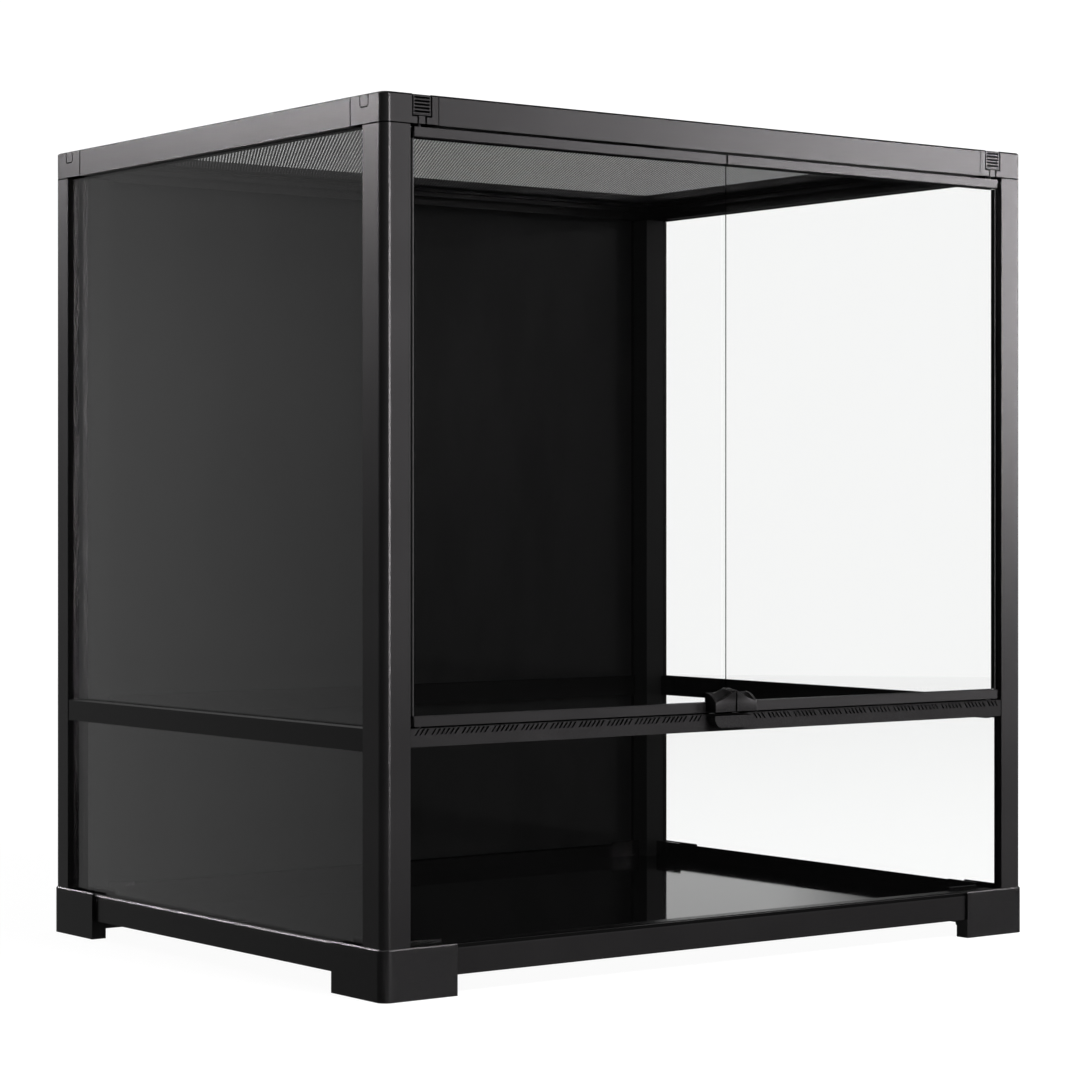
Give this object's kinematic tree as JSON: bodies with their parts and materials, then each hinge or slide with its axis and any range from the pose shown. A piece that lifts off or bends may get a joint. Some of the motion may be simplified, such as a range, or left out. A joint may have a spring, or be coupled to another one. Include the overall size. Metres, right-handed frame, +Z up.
{
  "type": "reptile terrarium",
  "caption": "Front-opening glass terrarium with a black frame, two swinging glass doors, a vented front rail and a lift-off perforated top.",
  "frame": {"origin": "on the ground under the middle of the overall size, handles included", "axes": "+X to the right seen from the front, -Y out through the doors, +Z up through the screen"},
  "size_m": [0.6054, 0.4706, 0.61],
  "materials": {
    "foot": "satin black moulded plastic",
    "base_rail": "satin black extrusion",
    "post": "satin black extrusion",
    "mid_rail": "satin black extrusion",
    "top_frame": "satin black extrusion",
    "floor": "glossy black sheet",
    "back_panel": "glossy black sheet",
    "pane": "clear float glass",
    "door_pane": "clear tempered glass",
    "door_rail": "satin black extrusion",
    "handle": "glossy black moulded plastic",
    "latch_plate": "satin black moulded plastic",
    "edge_strip": "smoked clear strip",
    "key": "satin black moulded plastic",
    "steel": "plated steel",
    "screen": "black coated sheet metal",
    "screen_bar": "black coated folded metal"
  },
  "bodies": {
    "cabinet": {"foot_front_left": "foot", "foot_front_right": "foot", "foot_rear_left": "foot", "foot_rear_right": "foot", "foot_screws": "steel", "base_rail_front": "base_rail", "base_rail_rear": "base_rail", "base_rail_left": "base_rail", "base_rail_right": "base_rail", "floor_panel": "floor", "post_front_left": "post", "post_front_right": "post", "post_rear_left": "post", "post_rear_right": "post", "mid_rail_front": "mid_rail", "mid_rail_rear": "mid_rail", "mid_rail_left": "mid_rail", "mid_rail_right": "mid_rail", "top_rail_front": "top_frame", "top_rail_rear": "top_frame", "top_rail_left": "top_frame", "top_rail_right": "top_frame", "block_front_left": "top_frame", "block_front_right": "top_frame", "block_rear_left": "top_frame", "block_rear_right": "top_frame", "glass_left_upper": "pane", "glass_left_lower": "pane", "glass_right_upper": "pane", "glass_right_lower": "pane", "glass_front_lower": "pane", "back_panel_upper": "back_panel", "back_panel_lower": "back_panel", "latch_plate": "latch_plate", "catch_magnets": "steel"},
    "left_door": {"door_glass_left": "door_pane", "door_top_rail_left": "door_rail", "door_bottom_rail_left": "door_rail", "door_handle_left": "handle", "door_pin_left": "steel", "door_strike_left": "steel", "door_edge_strip_left": "edge_strip"},
    "right_door": {"door_glass_right": "door_pane", "door_top_rail_right": "door_rail", "door_bottom_rail_right": "door_rail", "door_handle_right": "handle", "door_pin_right": "steel", "door_strike_right": "steel", "door_edge_strip_right": "edge_strip"},
    "left_key": {"hinge_key_left": "key", "hinge_key_pin_left": "steel"},
    "right_key": {"hinge_key_right": "key", "hinge_key_pin_right": "steel"},
    "screen_lid": {"screen_sheet": "screen", "screen_bar_front": "screen_bar", "screen_bar_rear": "screen_bar", "screen_bar_left": "screen_bar", "screen_bar_right": "screen_bar"}
  },
  "joints": [
    {"name": "left_door_hinge", "type": "hinge", "parent": "cabinet", "child": "left_door", "pos_m": [-0.2699, -0.22085, 0.385], "axis": [0, 0, -1], "range_deg": [0, 110]},
    {"name": "right_door_hinge", "type": "hinge", "parent": "cabinet", "child": "right_door", "pos_m": [0.2699, -0.22085, 0.385], "axis": [0, 0, 1], "range_deg": [0, 110]},
    {"name": "left_key_slide", "type": "slide", "parent": "cabinet", "child": "left_key", "axis": [0, 0, 1], "range_m": [0, 0.006]},
    {"name": "right_key_slide", "type": "slide", "parent": "cabinet", "child": "right_key", "axis": [0, 0, 1], "range_m": [0, 0.006]},
    {"name": "screen_lift", "type": "slide", "parent": "cabinet", "child": "screen_lid", "axis": [0, 0, 1], "range_m": [0, 0.06]}
  ]
}
